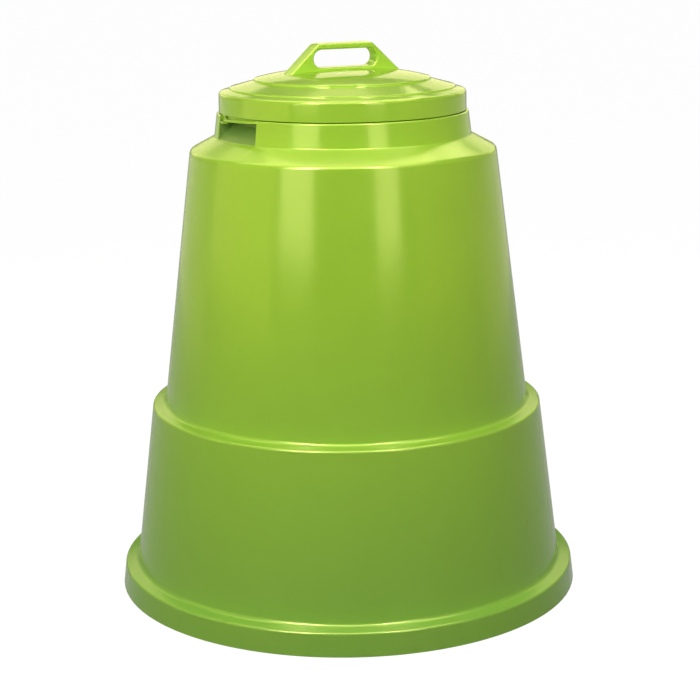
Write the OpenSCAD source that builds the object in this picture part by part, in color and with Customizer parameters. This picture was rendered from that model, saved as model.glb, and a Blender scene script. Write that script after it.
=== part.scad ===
// Cone-shaped garden compost bin, open at the bottom, with a twist-lock lid.
// The bin stands on z = 0 with its axis on Z; the lid's handle runs along X.

/* [Bin body] */
// Radius of the bottom edge
base_r = 320; // [300:1:340]
// Height of the base rim
rim_h = 31; // [26:1:36]
// Width of the flat flange on top of the base rim
flange_w = 18; // [14:1:22]
// Height of the ledge where the skirt steps in
ledge_z = 257; // [240:1:275]
// Width of that ledge
ledge_w = 17.5; // [14:0.5:20]
// Height of the shoulder's outer edge
shoulder_z = 607.5; // [595:0.5:615]
// Slope of all outer walls, in degrees from upright
draft = 7.25; // [6.5:0.25:7.5]
// Thickness of the moulded wall
wall = 3.5; // [3:0.1:4]

/* [Neck] */
// Radius of the neck where it leaves the shoulder
neck_r = 174.2; // [172:0.1:176]
// Height of the neck's foot
neck_z = 625.5; // [622:0.5:628]
// Height of the neck's rim
rim_z = 657.5; // [656:0.5:659]
// Radius of the filling mouth
mouth_r = 147; // [144:0.5:148]
// Height of the lower edge of the mouth's turned-down lip
lip_z = 646; // [644:0.5:648]

/* [Lock pockets] */
// Angle of the first pocket's notched end, from +X
pocket_start = 172; // [150:1:200]
// Angle that a pocket covers
pocket_span = 32.5; // [29:0.1:34]
// Angle of the notch that a lug drops through
notch_span = 6.9; // [6.5:0.1:8]
// Drop of the tongue's free tip below the rim
tongue_drop = 3.2; // [2:0.1:4]

/* [Lid] */
// Outer radius of the lid's skirt
lid_r = 167.3; // [166:0.1:168]
// Height of the skirt's lower edge
lid_z = 658.7; // [658.5:0.1:660]
// Height of the skirt's upper edge
lid_edge_z = 684.5; // [682:0.1:686]
// Radius of the outer ring step
step_1_r = 152.5; // [148:0.5:156]
// Radius of the inner ring step
step_2_r = 119.6; // [112:0.1:126]
// Rise of the crown above the inner ring step
crown_h = 11; // [8:0.5:14]
// Thickness of the lid's wall
lid_wall = 3.2; // [2.8:0.1:3.6]

/* [Handle] */
// Height of the top of the handle
handle_top_z = 748; // [742:1:752]
// Length along the top of the handle
handle_top_l = 80; // [76:1:88]
// Length of the handle at its foot
handle_foot_l = 165; // [162:1:170]
// Thickness of the handle from front to back
handle_t = 25; // [22:1:28]
// Length of the finger slot
slot_l = 92; // [88:1:93]
// Height of the top of the finger slot
slot_top_z = 739.5; // [738:0.5:740]
// Height of the bottom of the finger slot
slot_bottom_z = 716; // [715:0.5:717]

/* [Hidden] */
$fn = 180;

green = [0.60, 0.78, 0.24];
arc_steps = 6;
lock_count = 2;
cut = 6;

// Heights and radii of the body's tiers, from the bottom up
flange_z = rim_h + 3;
flange_r = base_r - rim_h * tan(draft);
skirt_r = flange_r - flange_w;
ledge_r = skirt_r - (ledge_z - flange_z) * tan(draft);
cone_z = ledge_z + 2;
cone_r = ledge_r - ledge_w;
shoulder_r = cone_r - (shoulder_z - cone_z) * tan(draft);
neck_top_r = neck_r - (rim_z - neck_z) * tan(draft);

// The lid's outer surface, from the skirt to the crown
step_1_h = 1.8;
step_2_h = 2.6;
step_lean = 0.3;
step_1_z = 688.2;
step_2_z = 698.6;
dome_z = step_2_z + step_2_h;
crown_z = dome_z + crown_h;
crown_power = 3;
crown_points = 14;

// How far solids that are joined reach into each other, and the gap between parts that touch
join = 1;
rest_gap = 0.3;

// The lock: a stem hangs below the skirt, and its foot turns under the tongue
lug_gap = 0.4;
lug_span = 4.3;
lug_in_r = lid_r - 3.5;
stem_out_r = lid_r - 0.5;
foot_out_r = 169.8;
foot_top_z = 650.6;
foot_bottom_z = 647.1;
lug_slot_in_r = lug_in_r - 0.7;
lug_slot_out_r = stem_out_r + 1.2;
flange_under_z = rim_z - wall;
pocket_back_r = mouth_r + wall;
pocket_foot_r = neck_r - 0.5;
back_wall_in = 1.5;
back_foot_down = 2.5;
side_deg = 1.2;
tongue_join_deg = 0.5;
tongue_edge_out = 0.3;
tongue_edge_in = 1.2;
tongue_edge_down = 2;

// Rings under the lid: one stands on the rim, one centres the lid in the mouth
seat_r = 159.5;
seat_z = rim_z + rest_gap;
collar_r = mouth_r - 1.5;
collar_z = 640;
ring_t = 3;

// The handle's outline and what holds it in the lid
handle_corner_r = 11;
handle_foot_z = 708;
handle_root_z = 690;
handle_wall = 3;
hollow_top_z = 729;
hollow_top_l = 110;
end_wall = 5;
prong_x = 60;
prong_l = 12;
prong_y = 6;
prong_t = 2.4;
prong_tip_z = 703.2;
prong_top_z = 730;
barb_h = 3;
barb_out = 1;

function unit(v) = v / norm(v);
function left_of(v) = [-v[1], v[0]];
function turned(v, a) = [v[0] * cos(a) - v[1] * sin(a), v[0] * sin(a) + v[1] * cos(a)];
function flat(p) = [p[0], p[1]];

// Points of the round that replaces corner b of the path a, b, c
function round_corner(a, b, c, radius) =
    let (u = unit(a - b), w = unit(c - b), half = acos(u * w) / 2)
    let (centre = b + unit(u + w) * radius / sin(half))
    let (first = b + u * radius / tan(half) - centre)
    let (sweep = (180 - 2 * half) * sign(cross(b - a, c - b)))
    [for (i = [0:arc_steps]) centre + turned(first, sweep * i / arc_steps)];

// A path of [r, z, corner radius] as plain points, with its corners rounded
function rounded(path) = [
    for (i = [0:len(path) - 1])
        each (i == 0 || i == len(path) - 1 || path[i][2] == 0)
            ? [flat(path[i])]
            : round_corner(flat(path[i - 1]), flat(path[i]), flat(path[i + 1]), path[i][2])
];

// Corner radius on the inside of a wall, where the outside has radius r
function inner_radius(r, t, outer_turn) =
    r < 2 ? 0 : outer_turn > 0 ? max(r - t, 0) : r + t;

// One inner corner of a wall of thickness t to the left of the path a, b, c
function inner_corner(a, b, c, t) =
    let (n = left_of(unit(flat(b - a))), m = left_of(unit(flat(c - b))))
    let (p = flat(b) + (n + m) * t / (1 + n * m))
    [p[0], p[1], inner_radius(b[2], t, cross(flat(b - a), flat(c - b)))];

// The inside of a wall of thickness t. Its ends are cut level, or upright on the axis
function inner_path(path, t, ends_on_axis) =
    let (last = len(path) - 1)
    let (n = left_of(unit(flat(path[1] - path[0]))))
    let (m = left_of(unit(flat(path[last] - path[last - 1]))))
    [
        for (i = [0:last])
            i == 0 ? [path[0][0] + t / n[0], path[0][1], 0]
            : i < last ? inner_corner(path[i - 1], path[i], path[i + 1], t)
            : ends_on_axis ? [0, path[last][1] + t / m[1], 0]
            : [path[last][0] + t / m[0], path[last][1], 0]
    ];

function reversed(list) = [for (i = [len(list) - 1:-1:0]) list[i]];

body_path = [
    [base_r, 0, 0],
    [flange_r, rim_h, 4],
    [skirt_r, flange_z, 6],
    [ledge_r, ledge_z, 4],
    [cone_r, cone_z, 5],
    [shoulder_r, shoulder_z, 8],
    [neck_r, neck_z, 3],
    [neck_top_r, rim_z, 2.5],
    [mouth_r, rim_z, 2],
    [mouth_r + 0.8, lip_z, 0]
];

lid_edge_path = [
    [lid_r, lid_z, 0],
    [lid_r - 0.3, lid_edge_z, 5],
    [step_1_r, step_1_z, 1],
    [step_1_r - step_lean, step_1_z + step_1_h, 1],
    [step_2_r, step_2_z, 1]
];

// Height of the lid's crown at distance r from the axis
function crown_at(r) = crown_z - crown_h * pow(r / (step_2_r - step_lean), crown_power);

crown_path = [
    for (i = [0:crown_points])
        let (r = (step_2_r - step_lean) * (1 - i / crown_points))
        [r, crown_at(r), i == 0 ? 1 : 0]
];

lid_path = concat(lid_edge_path, crown_path);

// A wall that follows a path around the axis
module spun_wall(path, t, ends_on_axis = false) {
    rotate_extrude()
        polygon(concat(rounded(path), reversed(rounded(inner_path(path, t, ends_on_axis)))));
}

// A ring segment with the given outline, turned about the axis
module sector(start, span, outline) {
    rotate([0, 0, start])
        rotate_extrude(angle = span)
            polygon(outline);
}

// A plain ring between two radii and two heights
module ring(r_in, r_out, z_low, z_high) {
    translate([0, 0, z_low])
        difference() {
            cylinder(h = z_high - z_low, r = r_out);
            translate([0, 0, -join]) cylinder(h = z_high - z_low + 2 * join, r = r_in);
        }
}

function box_outline(r_in, r_out, z_low, z_high) =
    [[r_in, z_low], [r_out, z_low], [r_out, z_high], [r_in, z_high]];

// The same step all the way round, once for each lock
module at_each_lock() {
    for (i = [0:lock_count - 1])
        rotate([0, 0, pocket_start + i * 360 / lock_count]) children();
}

// The pocket's own space: its back slopes out and down to the neck's foot
module pocket_space() {
    sector(0, pocket_span, [
        [pocket_back_r, flange_under_z],
        [neck_r + cut, flange_under_z],
        [neck_r + cut, neck_z],
        [pocket_foot_r, neck_z],
        [pocket_back_r, lip_z]
    ]);
}

// Sloping back and side walls that close the pocket off from the inside
module pocket_walls() {
    sector(-side_deg, pocket_span + 2 * side_deg, [
        [pocket_back_r - join, rim_z - join],
        [neck_top_r - join, rim_z - join],
        [neck_r - join, neck_z],
        [pocket_foot_r - back_wall_in, neck_z - back_foot_down],
        [pocket_back_r - back_wall_in, lip_z - wall]
    ]);
}

// The part of the rim over a pocket, which the tongue takes the place of
module pocket_rim_cut() {
    sector(0, pocket_span - tongue_join_deg,
        box_outline(lug_slot_in_r, neck_r + cut, lip_z, rim_z + cut));
}

// The tongue over the pocket, which runs down towards its free tip
module tongue() {
    slab_l = 90;
    tilt = asin(tongue_drop / (neck_r * (pocket_span - notch_span) * PI / 180));
    intersection() {
        sector(notch_span, pocket_span - notch_span + tongue_join_deg, [
            [lug_slot_out_r, lip_z],
            [neck_r - (lip_z - neck_z) * tan(draft), lip_z],
            [neck_top_r + tongue_edge_out, rim_z - tongue_edge_down],
            [neck_top_r - tongue_edge_in, rim_z],
            [lug_slot_out_r, rim_z]
        ]);
        rotate([0, 0, pocket_span])
            translate([lug_slot_out_r - cut, 0, rim_z])
                rotate([tilt, 0, 0])
                    translate([0, -slab_l, -wall]) cube([4 * cut, slab_l + cut, wall]);
    }
}

module bin_body() {
    color(green) {
        difference() {
            union() {
                spun_wall(body_path, wall);
                at_each_lock() pocket_walls();
            }
            at_each_lock() pocket_space();
            at_each_lock() pocket_rim_cut();
        }
        at_each_lock() tongue();
    }
}

// Stem and foot of one lock lug
module lug() {
    sector(lug_gap, lug_span, box_outline(lug_in_r, stem_out_r, foot_bottom_z, lid_z + 3 * join));
    sector(lug_gap, lug_span, box_outline(lug_in_r, foot_out_r, foot_bottom_z, foot_top_z));
}

// Everything below the lid's outer surface
module under_lid_surface() {
    rotate_extrude()
        polygon(concat(rounded(lid_path), [[0, collar_z], [lid_r, collar_z]]));
}

// Narrow holes that the handle's prongs snap into, each just wide enough for prong and barb
module prong_holes() {
    hole_l = prong_l + 2 * rest_gap;
    hole_w = prong_t + barb_out + rest_gap;
    for (end = [-1, 1], side = [-1, 1])
        translate([
            end * prong_x - hole_l / 2,
            side * (prong_y + prong_t / 2 + rest_gap - hole_w / 2) - hole_w / 2,
            prong_tip_z
        ])
            cube([hole_l, hole_w, crown_z - prong_tip_z + join]);
}

module lid() {
    color(green)
        difference() {
            union() {
                spun_wall(lid_path, lid_wall, ends_on_axis = true);
                intersection() {
                    union() {
                        ring(seat_r - ring_t, seat_r, seat_z, lid_edge_z + cut);
                        ring(collar_r - ring_t, collar_r, collar_z, lid_edge_z + 2 * cut);
                    }
                    under_lid_surface();
                }
                at_each_lock() lug();
            }
            prong_holes();
        }
}

// Side view of the handle, drawn with X across and Z up
module handle_outline() {
    lean = (handle_foot_l - handle_top_l) / 2 / (handle_top_z - handle_foot_z);
    root_x = handle_foot_l / 2 + (handle_foot_z - handle_root_z) * lean;
    slot_r = (slot_top_z - slot_bottom_z) / 2;
    slot_x = slot_l / 2 - slot_r;
    difference() {
        polygon(rounded([
            [root_x, handle_root_z, 0],
            [handle_top_l / 2, handle_top_z, handle_corner_r],
            [-handle_top_l / 2, handle_top_z, handle_corner_r],
            [-root_x, handle_root_z, 0]
        ]));
        for (side = [-1, 1])
            translate([side * slot_x, slot_top_z - slot_r]) circle(r = slot_r);
        translate([-slot_x, slot_bottom_z]) square([2 * slot_x, 2 * slot_r]);
        translate([-slot_x, handle_root_z - join])
            square([2 * slot_x, crown_z + rest_gap - handle_root_z + join]);
    }
}

// Hollow inside one leg, open towards the lid
module leg_hollow() {
    polygon([
        [slot_l / 2 + handle_wall, handle_root_z - join],
        [handle_foot_l / 2 + end_wall, handle_root_z - join],
        [handle_foot_l / 2 - end_wall, handle_foot_z],
        [hollow_top_l / 2, hollow_top_z],
        [slot_l / 2 + handle_wall + join, hollow_top_z]
    ]);
}

// Extrudes a side view to a thickness, centred on the handle
module across(t) {
    rotate([90, 0, 0]) translate([0, 0, -t / 2]) linear_extrude(t) children();
}

// A pair of barbed prongs at one end of the handle
module prongs() {
    for (side = [-1, 1])
        translate([-prong_l / 2, 0, prong_tip_z]) {
            translate([0, side * prong_y - prong_t / 2, 0])
                cube([prong_l, prong_t, prong_top_z - prong_tip_z]);
            translate([0, side * (prong_y + barb_out / 2) - (prong_t + barb_out) / 2, 0])
                cube([prong_l, prong_t + barb_out, barb_h]);
        }
}

module handle() {
    color(green) {
        difference() {
            across(handle_t) handle_outline();
            across(handle_t - 2 * handle_wall) leg_hollow();
            across(handle_t - 2 * handle_wall) mirror([1, 0]) leg_hollow();
            under_lid_surface();
        }
        intersection() {
            across(handle_t) handle_outline();
            union() {
                translate([prong_x, 0, 0]) prongs();
                translate([-prong_x, 0, 0]) prongs();
            }
        }
    }
}

bin_body();
lid();
handle();
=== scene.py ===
"""Looks of a cone-shaped garden compost bin: body, lid and handle in glossy plastic, on a pale floor."""
import math

import bmesh
import bpy
from mathutils import Matrix, Vector


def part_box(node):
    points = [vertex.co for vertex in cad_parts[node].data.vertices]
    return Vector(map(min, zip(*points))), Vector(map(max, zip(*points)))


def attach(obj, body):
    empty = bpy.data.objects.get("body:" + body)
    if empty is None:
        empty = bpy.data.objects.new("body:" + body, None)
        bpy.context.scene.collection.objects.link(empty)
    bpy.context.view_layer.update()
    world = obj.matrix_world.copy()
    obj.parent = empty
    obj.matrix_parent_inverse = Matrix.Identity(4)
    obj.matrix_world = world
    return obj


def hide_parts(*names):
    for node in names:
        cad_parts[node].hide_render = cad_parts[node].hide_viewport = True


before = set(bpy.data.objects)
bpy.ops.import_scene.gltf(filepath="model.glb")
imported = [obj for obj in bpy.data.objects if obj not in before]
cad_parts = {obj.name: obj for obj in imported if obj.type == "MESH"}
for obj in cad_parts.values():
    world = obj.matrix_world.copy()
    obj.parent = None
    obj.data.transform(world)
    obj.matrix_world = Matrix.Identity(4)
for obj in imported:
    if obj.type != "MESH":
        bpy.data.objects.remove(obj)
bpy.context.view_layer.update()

# ---------------------------------------------------------------- sizes, in metres and degrees

MM = 0.001
TINY = 1e-9
NO_SLOPE = 1e-6
WELD = 0.002 * MM
STEP_DEG = 1.5
SHADING_WEIGHT = 80
BEVEL_STEPS = 2
BODY_BEVEL = 0.5 * MM
LID_BEVEL = 0.4 * MM
PRONG_BEVEL = 0.3 * MM

# upper and lower corners of the CAD nodes that the pieces stand in for
BODY_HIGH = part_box("bin_body")[1]
LID_LOW, LID_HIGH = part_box("lid")
HANDLE_LOW, HANDLE_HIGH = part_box("handle")

# body, from the ground up
WALL = 3.5 * MM
DRAFT = math.radians(7.25)

BASE_R = round(BODY_HIGH.x, 3)
RIM_H = 31 * MM
FLANGE_Z = 34 * MM
FLANGE_R = BASE_R - RIM_H * math.tan(DRAFT)
SKIRT_R = FLANGE_R - 18 * MM
LEDGE_Z = 257 * MM
LEDGE_R = SKIRT_R - (LEDGE_Z - FLANGE_Z) * math.tan(DRAFT)
CONE_Z = LEDGE_Z + 2 * MM
CONE_R = LEDGE_R - 17.5 * MM
SHOULDER_Z = 607.5 * MM
SHOULDER_R = CONE_R - (SHOULDER_Z - CONE_Z) * math.tan(DRAFT)

# neck and mouth
NECK_R = 174.2 * MM
NECK_Z = 625.5 * MM
RIM_Z = BODY_HIGH.z
NECK_TOP_R = NECK_R - (RIM_Z - NECK_Z) * math.tan(DRAFT)
MOUTH_R = 147 * MM
LIP_Z = 646 * MM
LIP_END = (MOUTH_R + 0.8 * MM, LIP_Z)
SHOULDER_SLOPE = (NECK_Z - SHOULDER_Z) / (SHOULDER_R - NECK_R)
FOOT_RUN = 6 * MM
BY_FOOT = (NECK_R + FOOT_RUN, NECK_Z - FOOT_RUN * SHOULDER_SLOPE)

# lock pockets, their angles in degrees anticlockwise from +X, and the tongues over them
POCKET_START = 172.0
POCKET_SPAN = 32.5
NOTCH_SPAN = 6.9
SIDE_PLATE = 1.2
LOCKS = 2
FLANGE_UNDER_Z = RIM_Z - WALL
POCKET_BACK_R = MOUTH_R + WALL
POCKET_INSIDE_R = MOUTH_R + 2.2 * MM
POCKET_FOOT_INSET = 0.5 * MM
TONGUE_DROP = 3.2 * MM
TONGUE_INSET = 0.2 * MM
TONGUE_ROOT = 0.02

# lid
LID_R = 167.3 * MM
LID_Z = 658.7 * MM
LID_EDGE_Z = 684.5 * MM
LID_WALL = 3.2 * MM
LID_SKIRT_LEAN = 0.3 * MM
LID_EDGE_ROUND = 5 * MM
STEP_ROUND = 0.8 * MM
STEP_1_R = 152.5 * MM
STEP_1_Z = 688.2 * MM
STEP_1_H = 1.8 * MM
STEP_2_R = 119.6 * MM
STEP_2_Z = 698.6 * MM
STEP_2_H = 2.6 * MM
STEP_LEAN = 0.3 * MM
CROWN_H = 11 * MM
CROWN_Z = STEP_2_Z + STEP_2_H + CROWN_H
CROWN_POWER = 3
CROWN_RINGS = 24

# lock lugs and the slots in the rim that they pass through
LUG_GAP = 0.4
LUG_SPAN = 4.3
LUG_IN_R = LID_R - 3.5 * MM
STEM_OUT_R = LID_R - 0.5 * MM
FOOT_OUT_R = 169.8 * MM
FOOT_TOP_Z = 650.6 * MM
FOOT_BOTTOM_Z = 647.1 * MM
SLOT_IN_R = LUG_IN_R - 0.7 * MM
SLOT_OUT_R = STEM_OUT_R + 1.2 * MM
BY_SLOT = (SLOT_IN_R, RIM_Z)

# rings under the lid
SEAT_R = 159.5 * MM
SEAT_Z = RIM_Z + 0.3 * MM
COLLAR_R = MOUTH_R - 1.5 * MM
COLLAR_Z = LID_LOW.z
RING_T = 3 * MM

# handle: the grip
HANDLE_TOP_Z = HANDLE_HIGH.z
HANDLE_T = HANDLE_HIGH.y - HANDLE_LOW.y
HANDLE_TOP_L = 80 * MM
HANDLE_FOOT_L = 165 * MM
HANDLE_FOOT_Z = 708 * MM
HANDLE_CORNER_R = 11 * MM
GRIP_ROUND = 3 * MM
GRIP_ROUND_STEPS = 7
GRIP_CORNER_STEPS = 12
GRIP_PARTING = 0.3 * MM
GRIP_BELOW_CROWN = 1.5 * MM
GRIP_FOOT_INSET = 9 * MM
FINGER_SLOT_L = 92 * MM
FINGER_SLOT_TOP = 739.5 * MM
FINGER_SLOT_BOTTOM = 716 * MM

# handle: the prongs under it
PRONG_X = 60 * MM
PRONG_L = 12 * MM
PRONG_Y = 6 * MM
PRONG_T = 2.4 * MM
PRONG_TIP_Z = 703.2 * MM
BARB_H = 3 * MM
BARB_OUT = 1 * MM
PRONG_TOP_Z = LID_HIGH.z - 2 * MM


# ---------------------------------------------------------------- outlines

def corner_arc(a, b, c, radius, steps):
    """Points of the round that replaces corner b of the path a, b, c."""
    u, w = (a - b).normalized(), (c - b).normalized()
    half = u.angle(w) / 2
    centre = b + (u + w).normalized() * radius / math.sin(half)
    first = b + u * radius / math.tan(half) - centre
    turn = math.copysign(math.pi - 2 * half, (b - a).cross(c - b))
    return [centre + Matrix.Rotation(turn * i / steps, 2) @ first for i in range(steps + 1)]


def rounded(path, steps=8):
    """A path of (r, z, corner radius) as plain points, with its corners rounded."""
    points = [Vector(p[:2]) for p in path]
    out = [points[0]]
    for i in range(1, len(path) - 1):
        if path[i][2] > 0:
            out += corner_arc(points[i - 1], points[i], points[i + 1], path[i][2], steps)
        else:
            out.append(points[i])
    return out + [points[-1]]


def left_of(v):
    """A direction turned a quarter turn to its left."""
    return Vector((-v.y, v.x))


def inner_path(path, wall, ends_on_axis=False):
    """The inside of a wall to the left of a path, its ends cut level, or upright on the axis."""
    points = [Vector(p[:2]) for p in path]
    normals = [left_of((q - p).normalized()) for p, q in zip(points, points[1:])]
    out = [(points[0].x + wall / normals[0].x, points[0].y, 0)]
    for i in range(1, len(path) - 1):
        n, m = normals[i - 1], normals[i]
        p = points[i] + (n + m) * wall / (1 + n.dot(m))
        radius = path[i][2]
        if radius >= 2 * MM:
            radius += -wall if n.cross(m) > 0 else wall
        else:
            radius = 0
        out.append((p.x, p.y, max(radius, 0)))
    end = points[-1]
    if ends_on_axis:
        out.append((0, end.y + wall / normals[-1].y, 0))
    else:
        out.append((end.x + wall / normals[-1].x, end.y, 0))
    return out


def supported(points, edge=0.9 * MM, longest=30 * MM):
    """The same line with points close to the ends of its long stretches, and along them."""
    out = [points[0]]
    for a, b in zip(points, points[1:]):
        length = (b - a).length
        if length > 4 * edge:
            middle = max(1, math.ceil((length - 2 * edge) / longest))
            inner = length - 2 * edge
            for i in range(middle + 1):
                out.append(a.lerp(b, (edge + inner * i / middle) / length))
        out.append(b)
    return out


def line(*points):
    """Plain tuples as a list of vectors."""
    return [Vector(p) for p in points]


# ---------------------------------------------------------------- meshes

def finished(name, bm, smooth_angle=35, bevel=0.0):
    """Turns a bmesh into an object with small rounds on its sharp edges and even shading."""
    bmesh.ops.remove_doubles(bm, verts=bm.verts, dist=WELD)
    bmesh.ops.recalc_face_normals(bm, faces=bm.faces)
    mesh = bpy.data.meshes.new(name)
    bm.to_mesh(mesh)
    bm.free()
    mesh.shade_smooth()
    piece = bpy.data.objects.new(name, mesh)
    bpy.context.scene.collection.objects.link(piece)
    if bevel:
        modifier = piece.modifiers.new("edges", "BEVEL")
        modifier.width = bevel
        modifier.segments = BEVEL_STEPS
        modifier.limit_method = "ANGLE"
        modifier.angle_limit = math.radians(smooth_angle)
    apply_modifiers(piece)
    piece.data.set_sharp_from_angle(angle=math.radians(smooth_angle))
    weighted = piece.modifiers.new("shading", "WEIGHTED_NORMAL")
    weighted.keep_sharp = True
    weighted.weight = SHADING_WEIGHT
    return piece


def apply_modifiers(piece):
    """Replaces a piece's mesh with the result of its modifiers."""
    graph = bpy.context.evaluated_depsgraph_get()
    mesh = bpy.data.meshes.new_from_object(piece.evaluated_get(graph), depsgraph=graph)
    piece.modifiers.clear()
    piece.data = mesh


def around(point, degrees):
    """A point (r, z) of an outline, turned about Z by an angle."""
    a = math.radians(degrees)
    return Vector((point.x * math.cos(a), point.x * math.sin(a), point.y))


def sweep(bm, points, start, end):
    """A closed outline turned about Z from one angle to another, with triangles next to the axis."""
    steps = max(1, round((end - start) / STEP_DEG))
    columns = []
    for i in range(steps + 1):
        angle = start + (end - start) * i / steps
        columns.append([bm.verts.new(around(p, angle)) for p in points])
    for left, right in zip(columns, columns[1:]):
        for j in range(len(points)):
            k = (j + 1) % len(points)
            j_on_axis, k_on_axis = points[j].x < TINY, points[k].x < TINY
            corners = [left[j], right[j], right[k], left[k]]
            if j_on_axis and k_on_axis:
                continue
            if j_on_axis:
                corners.remove(right[j])
            if k_on_axis:
                corners.remove(right[k])
            bm.faces.new(corners)


def spin_zones(bm, profiles, zones):
    """Turns profiles about Z. A profile is a list of stretches that make one closed outline, and where
    two zones with different profiles meet, the stretches that differ bound a flat wall."""
    for (start, end, kind), (_, _, following) in zip(zones, zones[1:] + zones[:1]):
        sweep(bm, [p for stretch in profiles[kind] for p in stretch[:-1]], start, end)
        for one, other in zip(profiles[kind], profiles[following]):
            if one != other:
                wall = one + other[-2:0:-1]
                bm.faces.new([bm.verts.new(around(p, end)) for p in wall])


def lock_zones(marks):
    """Zones all the way round from (angle, kind) marks that start at each lock."""
    starts = []
    for lock in range(LOCKS):
        offset = POCKET_START + lock * 360 / LOCKS
        starts += [(offset + angle, kind) for angle, kind in marks]
    ends = [angle for angle, _ in starts[1:]] + [starts[0][0] + 360]
    return [(start, end, kind) for (start, kind), end in zip(starts, ends)]


def tongue(bm, start, steps=24):
    """The rib over one pocket, which runs down towards its free tip."""
    first, last = start + NOTCH_SPAN, start + POCKET_SPAN + TONGUE_ROOT
    outer_low = NECK_R - (FLANGE_UNDER_Z - NECK_Z) * math.tan(DRAFT)
    section = rounded([
        (SLOT_OUT_R, FLANGE_UNDER_Z, 0),
        (outer_low - TONGUE_INSET, FLANGE_UNDER_Z, 0.5 * MM),
        (NECK_TOP_R, RIM_Z, 1.6 * MM),
        (SLOT_OUT_R, RIM_Z, 0),
    ], 4)
    columns = []
    for i in range(steps + 1):
        share = 1 - i / steps
        angle = first + (last - first) * i / steps
        drop = Vector((0, 0, TONGUE_DROP * share))
        columns.append([bm.verts.new(around(p, angle) - drop) for p in section])
    for left, right in zip(columns, columns[1:]):
        for j in range(len(section)):
            k = (j + 1) % len(section)
            bm.faces.new([left[j], right[j], right[k], left[k]])
    bm.faces.new(columns[0])
    bm.faces.new(list(reversed(columns[-1])))


def body_outline():
    """The bin's outer outline as (r, z, corner radius): rim, flange, skirt, ledge, cone, shoulder, neck."""
    return [
        (BASE_R, 0, 0),
        (FLANGE_R, RIM_H, 4 * MM),
        (SKIRT_R, FLANGE_Z, 6 * MM),
        (LEDGE_R, LEDGE_Z, 4 * MM),
        (CONE_R, CONE_Z, 5 * MM),
        (SHOULDER_R, SHOULDER_Z, 8 * MM),
        (NECK_R, NECK_Z, 3 * MM),
        (NECK_TOP_R, RIM_Z, 2.5 * MM),
        (MOUTH_R, RIM_Z, 2 * MM),
        (*LIP_END, 0),
    ]


def pocket_stretch():
    """The outline in a pocket, from the shoulder up its sloping back wall to the slot in the rim."""
    return supported(rounded([
        (*BY_FOOT, 0),
        (NECK_R - POCKET_FOOT_INSET, NECK_Z, 2.5 * MM),
        (POCKET_BACK_R, LIP_Z, 2 * MM),
        (POCKET_BACK_R, FLANGE_UNDER_Z, 1 * MM),
        (SLOT_IN_R, FLANGE_UNDER_Z, 0),
        (*BY_SLOT, 0),
    ]))


def body_profiles():
    """Closed outlines of the plain wall, of a pocket and of the plate at each side of a pocket."""
    outer = body_outline()
    inner = inner_path(outer, WALL)[::-1]
    inner_foot, inner_shoulder = Vector(inner[3][:2]), Vector(inner[4][:2])
    by_inner_foot = inner_foot.lerp(inner_shoulder, 0.3)
    head = supported(rounded(outer[:6] + [(*BY_FOOT, 0)]))
    neck = supported(rounded([(*BY_FOOT, 0), outer[6], outer[7], (*BY_SLOT, 0)]))
    mouth = supported(rounded([(*BY_SLOT, 0), outer[8], outer[9]]))
    inside_neck = supported(rounded([(*LIP_END, 0), *inner[:4], (*by_inner_foot, 0)]))
    inside_pocket = supported(line(LIP_END, (POCKET_INSIDE_R, LIP_Z - WALL), by_inner_foot))
    inside = supported(rounded([(*by_inner_foot, 0), *inner[4:]]))
    ground = line(inner[-1][:2], outer[0][:2])
    return {
        "plain": [head, neck, mouth, inside_neck, inside, ground],
        "plate": [head, neck, mouth, inside_pocket, inside, ground],
        "pocket": [head, pocket_stretch(), mouth, inside_pocket, inside, ground],
    }


def make_body():
    """The bin's shell, with a pocket and a tongue at each lock."""
    bm = bmesh.new()
    spin_zones(bm, body_profiles(), lock_zones([
        (-SIDE_PLATE, "plate"),
        (0, "pocket"),
        (POCKET_SPAN, "plate"),
        (POCKET_SPAN + SIDE_PLATE, "plain"),
    ]))
    for lock in range(LOCKS):
        tongue(bm, POCKET_START + lock * 360 / LOCKS)
    return finished("bin_shell", bm, bevel=BODY_BEVEL)


def crown_height(r):
    """The height of the lid's crown at a radius."""
    return CROWN_Z - CROWN_H * (r / (STEP_2_R - STEP_LEAN)) ** CROWN_POWER


def lid_outline():
    """The lid's outer outline as (r, z, corner radius): skirt, two ring steps and crown."""
    path = [
        (LID_R, LID_Z, 0),
        (LID_R - LID_SKIRT_LEAN, LID_EDGE_Z, LID_EDGE_ROUND),
        (STEP_1_R, STEP_1_Z, STEP_ROUND),
        (STEP_1_R - STEP_LEAN, STEP_1_Z + STEP_1_H, STEP_ROUND),
        (STEP_2_R, STEP_2_Z, STEP_ROUND),
    ]
    for i in range(CROWN_RINGS + 1):
        r = (STEP_2_R - STEP_LEAN) * (1 - i / CROWN_RINGS)
        path.append((r, crown_height(r), STEP_ROUND if i == 0 else 0))
    return path


def height_at(under, r):
    """The height of the lid's inner face at a radius."""
    for a, b in zip(under, under[1:]):
        if b.x <= r <= a.x:
            return a.lerp(b, (a.x - r) / (a.x - b.x)).y
    raise ValueError("radius outside the lid")


def ring_below(under, r, low):
    """The outline of an upright ring that stands down from the lid's inner face."""
    within = r - RING_T
    return line((r, height_at(under, r)), (r, low), (within, low), (within, height_at(under, within)))


def lid_inside(path):
    """The lid's inner outline from the axis outwards, with the collar and the seat ring."""
    under = [Vector(p[:2]) for p in inner_path(path, LID_WALL, ends_on_axis=True)]
    below = under[:2] + ring_below(under, SEAT_R, SEAT_Z)
    below += [p for p in under if COLLAR_R < p.x < SEAT_R - RING_T]
    below += ring_below(under, COLLAR_R, COLLAR_Z)
    below += [p for p in under if p.x < COLLAR_R - RING_T]
    return supported(below[::-1])


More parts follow.
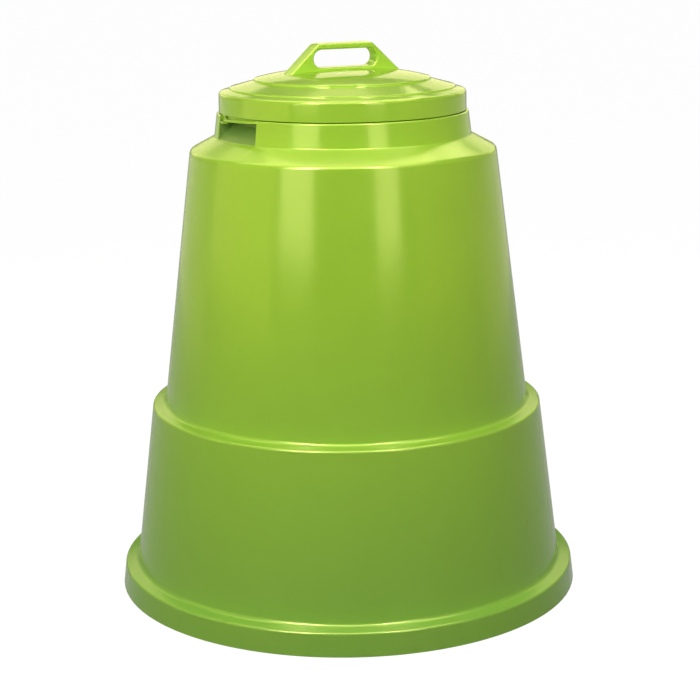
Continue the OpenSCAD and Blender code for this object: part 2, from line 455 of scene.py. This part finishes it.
def make_lid():
    """The lid: skirt, ring steps and crown above, seat ring, collar and lock lugs below."""
    path = lid_outline()
    top = supported(rounded(path, 5), edge=0.5 * MM)
    inside = lid_inside(path)
    skirt_foot = line(inside[-1], top[0])
    lug_foot = line(
        inside[-1],
        (LUG_IN_R, FOOT_BOTTOM_Z),
        (FOOT_OUT_R, FOOT_BOTTOM_Z),
        (FOOT_OUT_R, FOOT_TOP_Z),
        (STEM_OUT_R, FOOT_TOP_Z),
        (STEM_OUT_R, LID_Z),
        top[0],
    )
    axis = line(top[-1], inside[0])
    profiles = {
        "plain": [top, axis, inside, skirt_foot],
        "lug": [top, axis, inside, lug_foot],
    }
    bm = bmesh.new()
    spin_zones(bm, profiles, lock_zones([(LUG_GAP, "lug"), (LUG_GAP + LUG_SPAN, "plain")]))
    return finished("lid_shell", bm, bevel=LID_BEVEL)


def outline_normals(points):
    """Directions to the right of an open line, at each of its points."""
    out = []
    for i, p in enumerate(points):
        before, after = points[max(i - 1, 0)], points[min(i + 1, len(points) - 1)]
        out.append(-left_of((after - before).normalized()))
    return out


def crown_foot(reach, low, steps=10):
    """Points from the handle's axis outwards that lie a little below the lid's crown."""
    out = []
    for i in range(steps + 1):
        x = reach * i / steps
        out.append(Vector((x, crown_height(x) - low)))
    return out


def pulled_in(points, by):
    """An open line moved to its left; its first point stays at its own height."""
    normals = outline_normals(points)
    moved = [p - n * by for p, n in zip(points, normals)]
    if abs(normals[0].x) > NO_SLOPE:
        moved[0] = Vector((points[0].x - by / normals[0].x, points[0].y))
    return moved


def half_grip(bm, layers, side):
    """One end of the grip. Each layer is a depth and a closed outline of (x, z) points; the edges on
    the grip's middle are left open, because the other end joins there."""
    rings = []
    for y, outline in layers:
        rings.append([bm.verts.new((side * p.x, y, p.y)) for p in outline])
    count = len(rings[0])
    for near, far in zip(rings, rings[1:]):
        for i in range(count):
            k = (i + 1) % count
            on_middle = abs(near[i].co.x) < TINY and abs(near[k].co.x) < TINY
            if not on_middle:
                bm.faces.new([near[i], near[k], far[k], far[i]])
    bm.faces.new(rings[0])
    bm.faces.new(rings[-1])


def grip_outlines():
    """Open lines (x, z) of half the grip: its foot, its outer arch and its slot, in joining order."""
    lean = (HANDLE_FOOT_L - HANDLE_TOP_L) / 2 / (HANDLE_TOP_Z - HANDLE_FOOT_Z)
    reach = HANDLE_FOOT_L / 2
    end_z = crown_height(reach) - GRIP_BELOW_CROWN
    end = (reach + (HANDLE_FOOT_Z - crown_height(reach) + GRIP_BELOW_CROWN) * lean, end_z, 0)
    slot_r = (FINGER_SLOT_TOP - FINGER_SLOT_BOTTOM) / 2
    arch = rounded([
        end,
        (HANDLE_TOP_L / 2, HANDLE_TOP_Z, HANDLE_CORNER_R),
        (0, HANDLE_TOP_Z, 0),
    ], GRIP_CORNER_STEPS)
    slot = rounded([
        (0, FINGER_SLOT_TOP, 0),
        (FINGER_SLOT_L / 2, FINGER_SLOT_TOP, slot_r),
        (FINGER_SLOT_L / 2, FINGER_SLOT_BOTTOM, slot_r),
        (0, FINGER_SLOT_BOTTOM, 0),
    ], GRIP_CORNER_STEPS)
    return crown_foot(reach - GRIP_FOOT_INSET, GRIP_BELOW_CROWN), arch, slot


def make_handle():
    """The arched grip: sloping ends, a slot with round ends, rounded edges and a faint parting line."""
    foot, arch, slot = grip_outlines()
    near = []
    for i in range(GRIP_ROUND_STEPS + 1):
        turn = math.pi / 2 * i / GRIP_ROUND_STEPS
        inset = GRIP_PARTING + GRIP_ROUND * (1 - math.sin(turn))
        depth = -HANDLE_T / 2 + GRIP_ROUND * (1 - math.cos(turn))
        near.append((depth, foot + pulled_in(arch, inset) + pulled_in(slot, inset)))
    far = [(-depth, outline) for depth, outline in near[::-1]]
    layers = near + [(0, foot + arch + slot)] + far
    bm = bmesh.new()
    for side in (1, -1):
        half_grip(bm, layers, side)
    return finished("grip", bm, smooth_angle=40)


def prong_at(bm, section, middle, side):
    """One prong round the x of its middle, on one side of the grip's centre plane."""
    rings = []
    for x in (middle - PRONG_L / 2, middle + PRONG_L / 2):
        at = PRONG_Y - PRONG_T / 2
        rings.append([bm.verts.new((x, side * (at + p.x), p.y)) for p in section])
    for i in range(len(section)):
        k = (i + 1) % len(section)
        bm.faces.new([rings[0][i], rings[0][k], rings[1][k], rings[1][i]])
    bm.faces.new(rings[0])
    bm.faces.new(rings[1])


def make_prongs():
    """The four barbed prongs that hold the grip, where they show below the lid."""
    section = line(
        (0, PRONG_TIP_Z),
        (PRONG_T + BARB_OUT, PRONG_TIP_Z),
        (PRONG_T + BARB_OUT, PRONG_TIP_Z + BARB_H),
        (PRONG_T, PRONG_TIP_Z + BARB_H),
        (PRONG_T, PRONG_TOP_Z),
        (0, PRONG_TOP_Z),
    )
    bm = bmesh.new()
    for end in (-1, 1):
        for side in (-1, 1):
            prong_at(bm, section, end * PRONG_X, side)
    return finished("prongs", bm, bevel=PRONG_BEVEL)


# ---------------------------------------------------------------- materials

LEAF_GREEN = (0.29, 0.50, 0.036)
HIGHLIGHT_TINT = (1, 0.95, 0.35)
PLASTIC_IOR = 1.49
DEEPER = 0.93
PALER = 1.12
# painted shade: the colour that the plastic fades to at the ground
GROUND_SHADE_TINT = (0.72, 0.84, 1.6)
# painted shade: the darker colour of the lock pockets and inside of the neck, and the gloss they lose
RECESS_SHADE_TINT = (0.36, 0.43, 1.0)
RECESS_SHADE_DULLNESS = 0.3


def new_material(name):
    """An empty node material and its node tree."""
    material = bpy.data.materials.new(name)
    material.use_nodes = True
    material.node_tree.nodes.clear()
    return material, material.node_tree


def add(tree, kind, **values):
    """A new shader node with some of its properties set."""
    node = tree.nodes.new(kind)
    for key, value in values.items():
        setattr(node, key, value)
    return node


def noise(tree, place, scale, detail=3.0, stretch=None):
    """Soft noise round 0.5, stretched along the axes if asked."""
    if stretch:
        mapping = add(tree, "ShaderNodeMapping")
        mapping.inputs["Scale"].default_value = stretch
        tree.links.new(place, mapping.inputs["Vector"])
        place = mapping.outputs["Vector"]
    texture = add(tree, "ShaderNodeTexNoise")
    texture.inputs["Scale"].default_value = scale
    texture.inputs["Detail"].default_value = detail
    tree.links.new(place, texture.inputs["Vector"])
    return texture.outputs["Fac"]


def ramp(tree, value, low, high, out_low, out_high):
    """A value from low to high, carried over to out_low to out_high and held at both ends."""
    node = add(tree, "ShaderNodeMapRange")
    node.inputs["From Min"].default_value = low
    node.inputs["From Max"].default_value = high
    node.inputs["To Min"].default_value = out_low
    node.inputs["To Max"].default_value = out_high
    tree.links.new(value, node.inputs["Value"])
    return node.outputs["Result"]


def mixed(tree, factor, a, b):
    """Two colours mixed by a factor; each is a plain colour or another node's output."""
    node = add(tree, "ShaderNodeMix", data_type="RGBA")
    tree.links.new(factor, node.inputs["Factor"])
    for socket, value in ((node.inputs["A"], a), (node.inputs["B"], b)):
        if isinstance(value, tuple):
            socket.default_value = (*value, 1)
        else:
            tree.links.new(value, socket)
    return node.outputs["Result"]


def combined(tree, operation, a, b):
    """Two values put together by a maths operation."""
    node = add(tree, "ShaderNodeMath", operation=operation)
    tree.links.new(a, node.inputs[0])
    tree.links.new(b, node.inputs[1])
    return node.outputs["Value"]


def tinted(colour, tint):
    """A colour with each of its channels scaled."""
    return tuple(c * k for c, k in zip(colour, tint))


def plastic_colour(tree, place, height, colour):
    """The plastic's colour: cloudy, paler on worn edges, and with painted shade that makes it darker and
    greener towards the ground.
    """
    cloud = ramp(tree, noise(tree, place, scale=7), 0.3, 0.7, 0, 1)
    base = mixed(tree, cloud, tuple(c * DEEPER for c in colour), colour)
    pointiness = add(tree, "ShaderNodeNewGeometry").outputs["Pointiness"]
    edges = ramp(tree, pointiness, 0.515, 0.56, 0, 0.35)
    base = mixed(tree, edges, base, tuple(min(1, c * PALER + 0.02) for c in colour))
    # painted shade: the base colour darkens and turns greener towards the ground
    ground_shade = ramp(tree, height, 0.0, 0.45, 1, 0)
    return mixed(tree, ground_shade, base, tinted(colour, GROUND_SHADE_TINT))


def painted_recess_shade(tree, place, height):
    """1 where shade is painted into the pockets and the inside of the neck, below the tongues, 0 elsewhere.
    """
    across = add(tree, "ShaderNodeVectorMath", operation="MULTIPLY")
    across.inputs[1].default_value = (1, 1, 0)
    tree.links.new(place, across.inputs[0])
    radius = add(tree, "ShaderNodeVectorMath", operation="LENGTH")
    tree.links.new(across.outputs["Vector"], radius.inputs[0])
    outside = ramp(tree, height, NECK_Z, RIM_Z, -NECK_R, -NECK_TOP_R)
    beyond = combined(tree, "ADD", radius.outputs["Value"], outside)
    recessed = ramp(tree, beyond, -0.4 * MM, -2 * MM, 0, 1)
    under_tongue = ramp(tree, height, 651 * MM, 654 * MM, 1, 0)
    return combined(tree, "MULTIPLY", recessed, under_tongue)


def plastic_roughness(tree, place, roughness):
    """Smeared gloss with fine upright scuffs."""
    clouds = noise(tree, place, scale=26, detail=5)
    smears = ramp(tree, clouds, 0.35, 0.75, roughness * 0.85, roughness * 1.25)
    streaks = noise(tree, place, scale=500, detail=2, stretch=(1, 1, 0.04))
    scuffs = ramp(tree, streaks, 0.62, 0.78, 0, 0.10)
    return combined(tree, "ADD", smears, scuffs)


def plastic_bump(tree, place):
    """A fine orange-peel bump under broad, shallow flow waves."""
    peel = add(tree, "ShaderNodeBump")
    peel.inputs["Strength"].default_value = 0.06
    peel.inputs["Distance"].default_value = 0.4 * MM
    tree.links.new(noise(tree, place, scale=210, detail=2), peel.inputs["Height"])
    waves = add(tree, "ShaderNodeBump")
    waves.inputs["Strength"].default_value = 0.12
    waves.inputs["Distance"].default_value = 3 * MM
    tree.links.new(noise(tree, place, scale=11, detail=2, stretch=(1, 1, 0.5)), waves.inputs["Height"])
    tree.links.new(peel.outputs["Normal"], waves.inputs["Normal"])
    return waves.outputs["Normal"]


def moulded_plastic(name, colour, roughness, shaded_recesses=False):
    """Glossy moulded polypropylene with flow marks, fine scuffs and paler worn edges. Where asked, painted
    shade darkens the lock pockets and the inside of the neck and takes off some of their gloss."""
    material, tree = new_material(name)
    place = add(tree, "ShaderNodeTexCoord").outputs["Object"]
    parts = add(tree, "ShaderNodeSeparateXYZ")
    tree.links.new(place, parts.inputs["Vector"])
    height = parts.outputs["Z"]
    base = plastic_colour(tree, place, height, colour)
    finish = plastic_roughness(tree, place, roughness)
    # painted shade: the lock pockets and the inside of the neck are darkened and dulled
    if shaded_recesses:
        recess_shade = painted_recess_shade(tree, place, height)
        base = mixed(tree, recess_shade, base, tinted(colour, RECESS_SHADE_TINT))
        finish = combined(tree, "ADD", finish, ramp(tree, recess_shade, 0, 1, 0, RECESS_SHADE_DULLNESS))
    shader = add(tree, "ShaderNodeBsdfPrincipled")
    shader.inputs["IOR"].default_value = PLASTIC_IOR
    shader.inputs["Specular Tint"].default_value = (*HIGHLIGHT_TINT, 1)
    tree.links.new(base, shader.inputs["Base Color"])
    tree.links.new(finish, shader.inputs["Roughness"])
    tree.links.new(plastic_bump(tree, place), shader.inputs["Normal"])
    out = add(tree, "ShaderNodeOutputMaterial")
    tree.links.new(shader.outputs["BSDF"], out.inputs["Surface"])
    return material


def pale_floor_material(glow, mirrored, matt):
    """A pale floor that the camera sees as even white. It glows less in reflections and not at all as
    matt light, so that the bin darkens towards the ground."""
    material, tree = new_material("pale_floor")
    link = tree.links.new
    path = add(tree, "ShaderNodeLightPath")
    reflected = add(tree, "ShaderNodeMath", operation="MULTIPLY")
    link(path.outputs["Is Glossy Ray"], reflected.inputs[0])
    reflected.inputs[1].default_value = mirrored
    strength = add(tree, "ShaderNodeMath", operation="MULTIPLY_ADD")
    link(path.outputs["Is Camera Ray"], strength.inputs[0])
    strength.inputs[1].default_value = glow
    link(reflected.outputs["Value"], strength.inputs[2])
    even = add(tree, "ShaderNodeEmission")
    link(strength.outputs["Value"], even.inputs["Strength"])
    shaded = add(tree, "ShaderNodeBsdfDiffuse")
    shaded.inputs["Color"].default_value = (matt, matt, matt, 1)
    both = add(tree, "ShaderNodeAddShader")
    link(even.outputs["Emission"], both.inputs[0])
    link(shaded.outputs["BSDF"], both.inputs[1])
    out = add(tree, "ShaderNodeOutputMaterial")
    link(both.outputs["Shader"], out.inputs["Surface"])
    return material


# ---------------------------------------------------------------- assembly

def dress(piece, material, body, node):
    """Gives a piece its material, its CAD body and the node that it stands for."""
    piece.data.materials.clear()
    piece.data.materials.append(material)
    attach(piece, body)
    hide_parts(node)


# the body's plastic carries painted shade in its pockets and towards the ground
body_plastic = moulded_plastic("body_plastic", LEAF_GREEN, roughness=0.17, shaded_recesses=True)
lid_plastic = moulded_plastic("lid_plastic", LEAF_GREEN, roughness=0.09)
handle_plastic = moulded_plastic("handle_plastic", LEAF_GREEN, roughness=0.11)
dress(make_body(), body_plastic, "bin", "bin_body")
dress(make_lid(), lid_plastic, "lid", "lid")
dress(make_handle(), handle_plastic, "lid", "handle")
dress(make_prongs(), handle_plastic, "lid", "handle")


# ---------------------------------------------------------------- floor, light and camera

VIEW_AZIMUTH = -25.0
FLOOR_RADIUS = 60
WHITE = (1, 1, 1)
WARM = (1, 0.94, 0.45)
LID_CENTRE = Vector((0, 0, 0.7))

# name, azimuth from the camera's, distance, low edge, high edge, width, watts, colour, what it serves
STANDING_LIGHTS = [
    ("left_strip", -31.5, 1.6, 0.57, 2.3, 0.65, 21, WHITE, "both"),
    ("right_strip", 29, 1.6, 0.57, 2.3, 0.45, 14, WHITE, "both"),
    ("left_wing", -75, 2.2, 0.4, 1.9, 2.2, 17, WARM, "both"),
    ("right_wing", 75, 2.2, 0.4, 1.9, 2.2, 7, WARM, "both"),
    ("left_side", -128, 2.2, 0.1, 1.9, 2.2, 5, WARM, "both"),
    ("right_side", 128, 2.2, 0.1, 1.9, 2.2, 5, WARM, "both"),
    ("left_hot", -31.5, 1.6, 1.5, 2.9, 0.6, 230, WHITE, "shine"),
    ("right_hot", 29, 1.6, 1.5, 2.9, 0.4, 155, WHITE, "shine"),
    ("back_low", 180, 2.4, 0.8, 1.7, 4.4, 17, WARM, "shine"),
    ("back", 180, 2.4, 1.7, 3.9, 4.4, 55, WARM, "shine"),
    ("right_rear", 158, 2.2, 1.8, 3.2, 0.9, 8, WARM, "shine"),
    ("back_fill", 180, 2.4, 0.4, 2.4, 2.8, 34, WHITE, "matt"),
]

# name, azimuth from the camera's, elevation, distance, side, watts, colour, what it serves
HIGH_LIGHTS = [
    ("overhead", 0, 90, 1.3, 1.6, 5, WHITE, "both"),
    ("front_high", 0, 50, 1.8, 1.0, 24, WHITE, "shine"),
    ("ceiling", 0, 90, 1.5, 2.4, 90, WARM, "shine"),
    ("right_high", 60, 50, 2.0, 1.2, 10, WHITE, "both"),
]


def make_floor():
    """The floor at the ground's height, far wider than the picture."""
    bpy.ops.mesh.primitive_circle_add(vertices=96, radius=FLOOR_RADIUS, fill_type="NGON")
    floor = bpy.context.object
    floor.name = "floor"
    floor.data.materials.append(pale_floor_material(glow=0.98, mirrored=0.45, matt=0.06))


def soft_light(name, size, watts, place, facing, colour, serves):
    """A rectangular soft light, itself out of the picture. It serves reflections ("shine"), matt light
    ("matt") or both."""
    light = bpy.data.lights.new(name, "AREA")
    light.shape = "RECTANGLE"
    light.size, light.size_y = size
    light.energy = watts
    light.color = colour
    lamp = bpy.data.objects.new(name, light)
    lamp.location = place
    lamp.rotation_euler = facing.to_track_quat("-Z", "Y").to_euler()
    lamp.visible_camera = False
    lamp.visible_glossy = serves != "matt"
    lamp.visible_diffuse = serves != "shine"
    bpy.context.scene.collection.objects.link(lamp)


def standing_light(name, azimuth, distance, low, high, width, watts, colour, serves):
    """An upright light that faces the bin's axis, placed by the camera's kind of azimuth."""
    a = math.radians(VIEW_AZIMUTH + azimuth)
    out = Vector((math.sin(a), -math.cos(a), 0))
    place = out * distance + Vector((0, 0, (low + high) / 2))
    soft_light(name, (width, high - low), watts, place, -out, colour, serves)


def high_light(name, azimuth, elevation, distance, side, watts, colour, serves):
    """A square light above the bin, tilted to face the lid."""
    a, e = math.radians(VIEW_AZIMUTH + azimuth), math.radians(elevation)
    out = Vector((math.sin(a) * math.cos(e), -math.cos(a) * math.cos(e), math.sin(e)))
    soft_light(name, (side, side), watts, LID_CENTRE + out * distance, -out, colour, serves)


def make_world(ambient, backdrop):
    """Even light from all round; the camera itself sees a white backdrop."""
    world = bpy.data.worlds.new("studio")
    world.use_nodes = True
    tree = world.node_tree
    background = tree.nodes["Background"]
    background.inputs["Color"].default_value = (1, 1, 1, 1)
    path = add(tree, "ShaderNodeLightPath")
    strength = add(tree, "ShaderNodeMapRange")
    strength.inputs["To Min"].default_value = ambient
    strength.inputs["To Max"].default_value = backdrop
    tree.links.new(path.outputs["Is Camera Ray"], strength.inputs["Value"])
    tree.links.new(strength.outputs["Result"], background.inputs["Strength"])
    bpy.context.scene.world = world


def make_camera(distance=2.443, height=0.9146, pitch=13.61, pan=0.137, roll=-0.72, lens=92.6):
    """The viewing camera, at a level distance from the bin's axis and a height above the floor."""
    turn = Matrix.Rotation(math.radians(VIEW_AZIMUTH), 3, "Z")
    p, y, r = math.radians(pitch), math.radians(pan), math.radians(roll)
    forward = turn @ Vector((math.sin(y) * math.cos(p), math.cos(y) * math.cos(p), -math.sin(p)))
    side = forward.cross(Vector((0, 0, 1))).normalized()
    up = side.cross(forward)
    right = math.cos(r) * side + math.sin(r) * up
    top = -math.sin(r) * side + math.cos(r) * up
    data = bpy.data.cameras.new("camera")
    data.lens = lens
    data.sensor_width = 36
    camera = bpy.data.objects.new("camera", data)
    bpy.context.scene.collection.objects.link(camera)
    place = Matrix((right, top, -forward)).transposed().to_4x4()
    place.translation = turn @ Vector((0, -distance, height))
    camera.matrix_world = place
    bpy.context.scene.camera = camera


make_floor()
make_world(ambient=0.10, backdrop=1.0)
for row in STANDING_LIGHTS:
    standing_light(*row)
for row in HIGH_LIGHTS:
    high_light(*row)
make_camera()
bpy.context.scene.view_settings.view_transform = "Standard"
